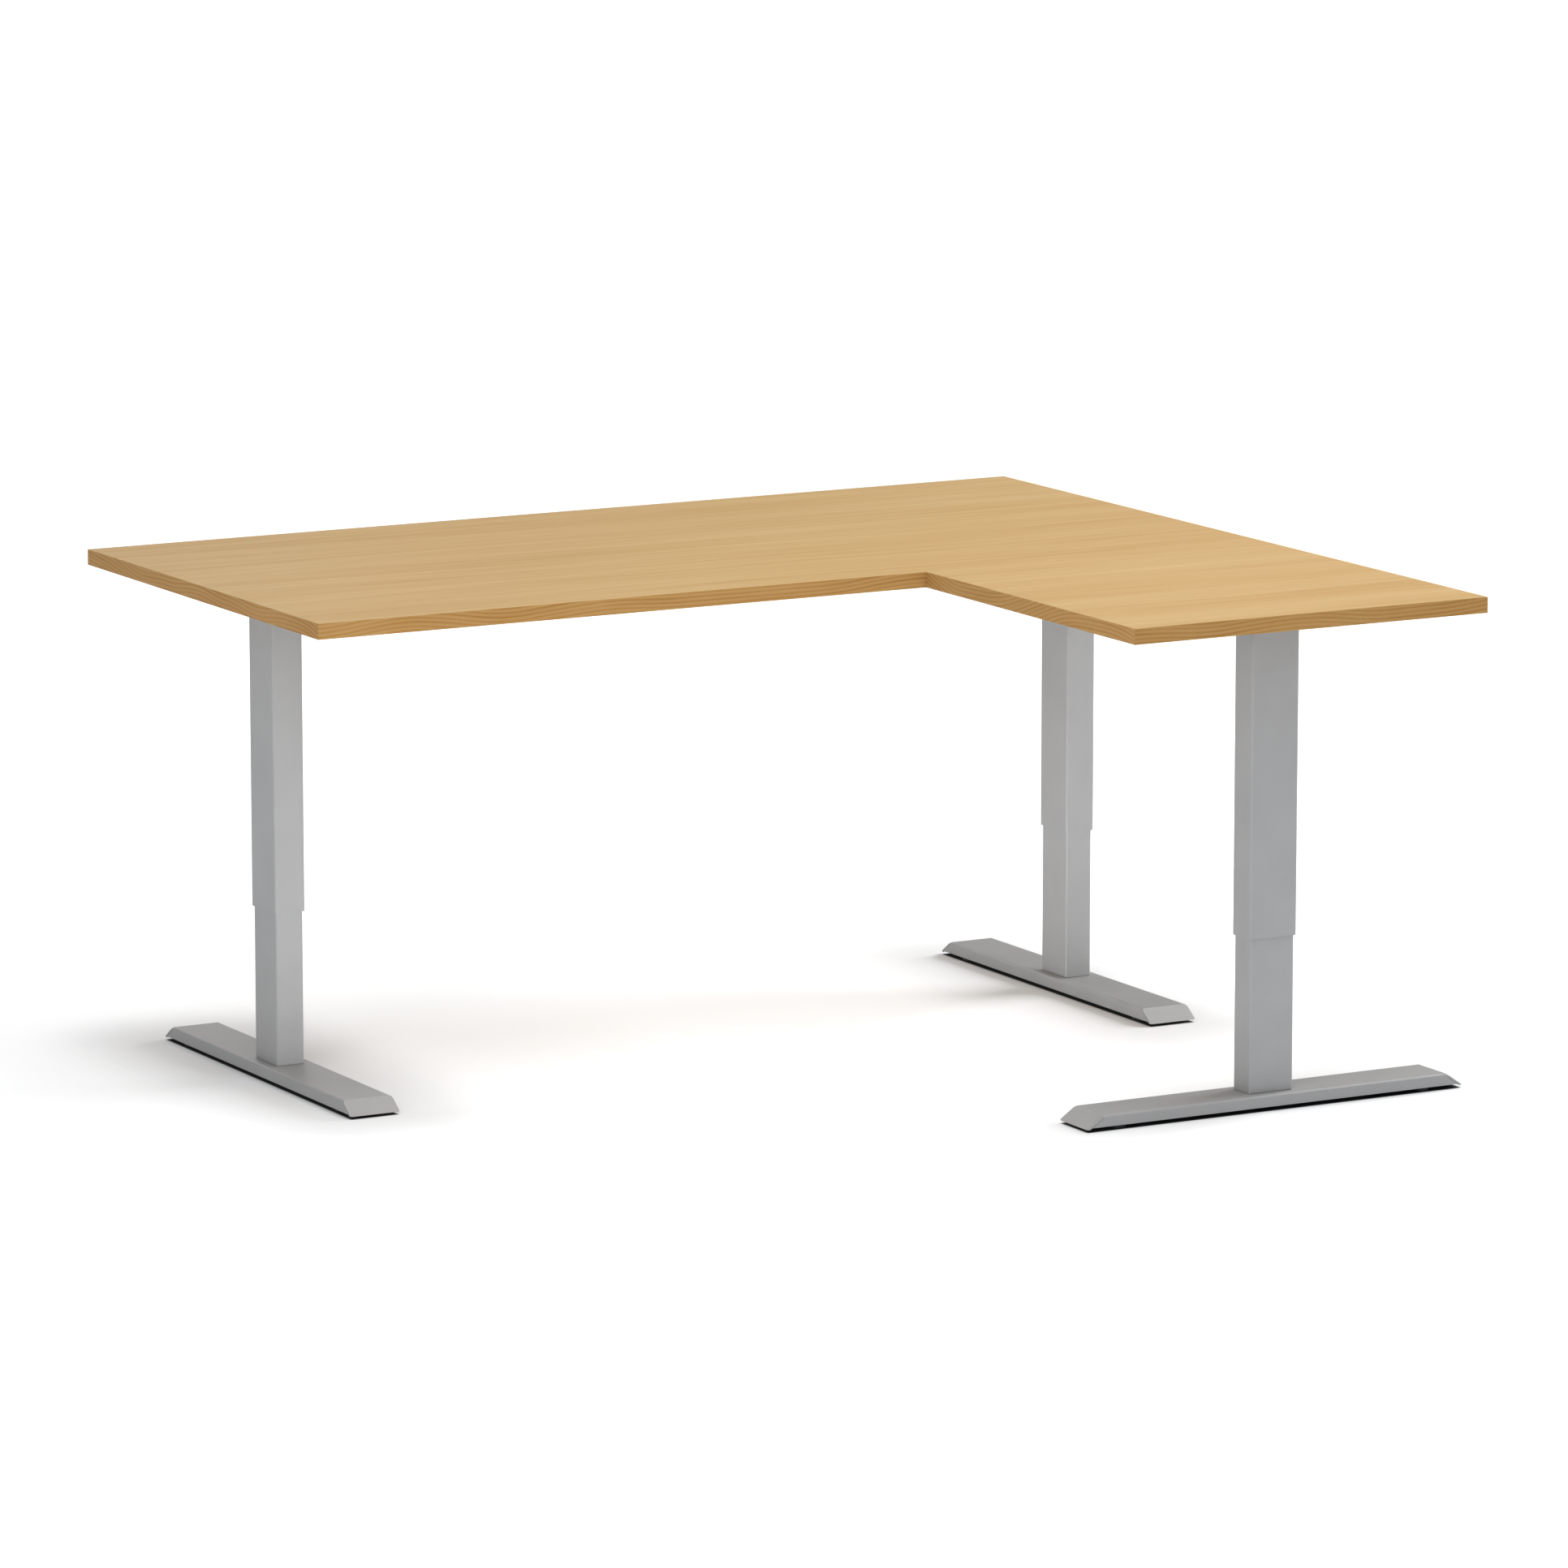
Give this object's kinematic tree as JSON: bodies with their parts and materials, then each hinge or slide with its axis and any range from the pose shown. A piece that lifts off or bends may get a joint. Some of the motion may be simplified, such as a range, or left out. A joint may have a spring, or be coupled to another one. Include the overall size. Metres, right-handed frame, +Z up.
{
  "type": "height adjustable standing desk",
  "caption": "L-shaped height adjustable desk: beech-faced worktop on motor driven telescopic rectangular legs with flat T-shaped steel feet.",
  "frame": {"origin": "on the floor, under the centre of the desk's overall box", "axes": "+X along the main worktop towards the return, +Y towards the back edge, +Z up"},
  "size_m": [1.623, 1.4, 0.75],
  "materials": {
    "beech_top": "satin",
    "beech_edge": "satin",
    "silver_powder_coat": "matt powder coat",
    "zinc_steel": "zinc plated",
    "bright_steel": "rolled thread",
    "acetal": "matt",
    "cast_housing": "satin",
    "motor_black": "satin",
    "black_plastic": "fine texture",
    "button_grey": "matt",
    "lead_black": "matt"
  },
  "bodies": {
    "base_left": {"foot_left": "silver_powder_coat", "glides_left": "black_plastic", "foot_screws_left": "zinc_steel", "inner_tube_left": "silver_powder_coat", "inner_guide_left": "acetal"},
    "middle_left": {"middle_liner_left": "acetal", "middle_tube_left": "silver_powder_coat", "middle_guide_left": "acetal"},
    "hollow_screw_left": {"hollow_screw_left": "bright_steel"},
    "drive_screw_left": {"drive_screw_left": "bright_steel"},
    "base_corner": {"foot_corner": "silver_powder_coat", "glides_corner": "black_plastic", "foot_screws_corner": "zinc_steel", "inner_tube_corner": "silver_powder_coat", "inner_guide_corner": "acetal"},
    "middle_corner": {"middle_liner_corner": "acetal", "middle_tube_corner": "silver_powder_coat", "middle_guide_corner": "acetal"},
    "hollow_screw_corner": {"hollow_screw_corner": "bright_steel"},
    "drive_screw_corner": {"drive_screw_corner": "bright_steel"},
    "base_return": {"foot_return": "silver_powder_coat", "glides_return": "black_plastic", "foot_screws_return": "zinc_steel", "inner_tube_return": "silver_powder_coat", "inner_guide_return": "acetal"},
    "middle_return": {"middle_liner_return": "acetal", "middle_tube_return": "silver_powder_coat", "middle_guide_return": "acetal"},
    "hollow_screw_return": {"hollow_screw_return": "bright_steel"},
    "drive_screw_return": {"drive_screw_return": "bright_steel"},
    "top": {"worktop": "beech_top", "edge_bands": "beech_edge", "main_rails": "silver_powder_coat", "return_rails": "silver_powder_coat", "corner_plate": "silver_powder_coat", "frame_bolts": "zinc_steel", "top_screws": "zinc_steel", "control_box": "black_plastic", "handset": "black_plastic", "motor_leads": "lead_black", "handset_lead": "lead_black", "lead_clips": "black_plastic", "outer_liner_left": "acetal", "outer_tube_left": "silver_powder_coat", "gearbox_left": "cast_housing", "motor_left": "motor_black", "arm_left": "silver_powder_coat", "outer_liner_corner": "acetal", "outer_tube_corner": "silver_powder_coat", "gearbox_corner": "cast_housing", "motor_corner": "motor_black", "arm_corner": "silver_powder_coat", "outer_liner_return": "acetal", "outer_tube_return": "silver_powder_coat", "gearbox_return": "cast_housing", "motor_return": "motor_black", "arm_return": "silver_powder_coat"},
    "up_button": {"up_button": "button_grey"},
    "down_button": {"down_button": "button_grey"}
  },
  "joints": [
    {"name": "stage2_left", "type": "slide", "parent": "base_left", "child": "middle_left", "axis": [0, 0, 1], "range_m": [0, 0.34]},
    {"name": "stage1_left", "type": "slide", "parent": "middle_left", "child": "top", "axis": [0, 0, 1], "range_m": [-0.1, 0.17]},
    {"name": "stage1_corner", "type": "slide", "parent": "top", "child": "middle_corner", "axis": [0, 0, 1], "range_m": [-0.17, 0.1]},
    {"name": "stage2_corner", "type": "slide", "parent": "middle_corner", "child": "base_corner", "axis": [0, 0, 1], "range_m": [-0.34, 0]},
    {"name": "stage1_return", "type": "slide", "parent": "top", "child": "middle_return", "axis": [0, 0, 1], "range_m": [-0.17, 0.1]},
    {"name": "stage2_return", "type": "slide", "parent": "middle_return", "child": "base_return", "axis": [0, 0, 1], "range_m": [-0.34, 0]},
    {"name": "drive_turn_left", "type": "hinge", "parent": "top", "child": "drive_screw_left", "pos_m": [-0.6895, 0.3, 0.5], "axis": [0, 0, 1], "range_deg": [-4500, 7650]},
    {"name": "hollow_turn_left", "type": "hinge", "parent": "middle_left", "child": "hollow_screw_left", "pos_m": [-0.6895, 0.3, 0.4], "axis": [0, 0, 1], "range_deg": [0, 15300]},
    {"name": "drive_turn_corner", "type": "hinge", "parent": "top", "child": "drive_screw_corner", "pos_m": [0.6715, 0.3, 0.5], "axis": [0, 0, 1], "range_deg": [-4500, 7650]},
    {"name": "hollow_turn_corner", "type": "hinge", "parent": "middle_corner", "child": "hollow_screw_corner", "pos_m": [0.6715, 0.3, 0.4], "axis": [0, 0, 1], "range_deg": [0, 15300]},
    {"name": "drive_turn_return", "type": "hinge", "parent": "top", "child": "drive_screw_return", "pos_m": [0.4885, -0.576, 0.5], "axis": [0, 0, 1], "range_deg": [-4500, 7650]},
    {"name": "hollow_turn_return", "type": "hinge", "parent": "middle_return", "child": "hollow_screw_return", "pos_m": [0.4885, -0.576, 0.4], "axis": [0, 0, 1], "range_deg": [0, 15300]},
    {"name": "up_button_press", "type": "slide", "parent": "top", "child": "up_button", "axis": [0, 1, 0], "range_m": [0, 0.0012], "stiffness_N_per_m": 400, "springref_m": -0.0012},
    {"name": "down_button_press", "type": "slide", "parent": "top", "child": "down_button", "axis": [0, 1, 0], "range_m": [0, 0.0012], "stiffness_N_per_m": 400, "springref_m": -0.0012}
  ],
  "couplings": [
    {"joint": "stage1_corner", "follows": "stage1_left", "ratio": -1},
    {"joint": "stage2_corner", "follows": "stage2_left", "ratio": -1},
    {"joint": "stage1_return", "follows": "stage1_left", "ratio": -1},
    {"joint": "stage2_return", "follows": "stage2_left", "ratio": -1},
    {"joint": "drive_turn_left", "follows": "stage1_left", "rad_per_m": 785.4},
    {"joint": "hollow_turn_left", "follows": "stage2_left", "rad_per_m": 785.4},
    {"joint": "drive_turn_corner", "follows": "stage1_left", "rad_per_m": 785.4},
    {"joint": "hollow_turn_corner", "follows": "stage2_left", "rad_per_m": 785.4},
    {"joint": "drive_turn_return", "follows": "stage1_left", "rad_per_m": 785.4},
    {"joint": "hollow_turn_return", "follows": "stage2_left", "rad_per_m": 785.4}
  ]
}
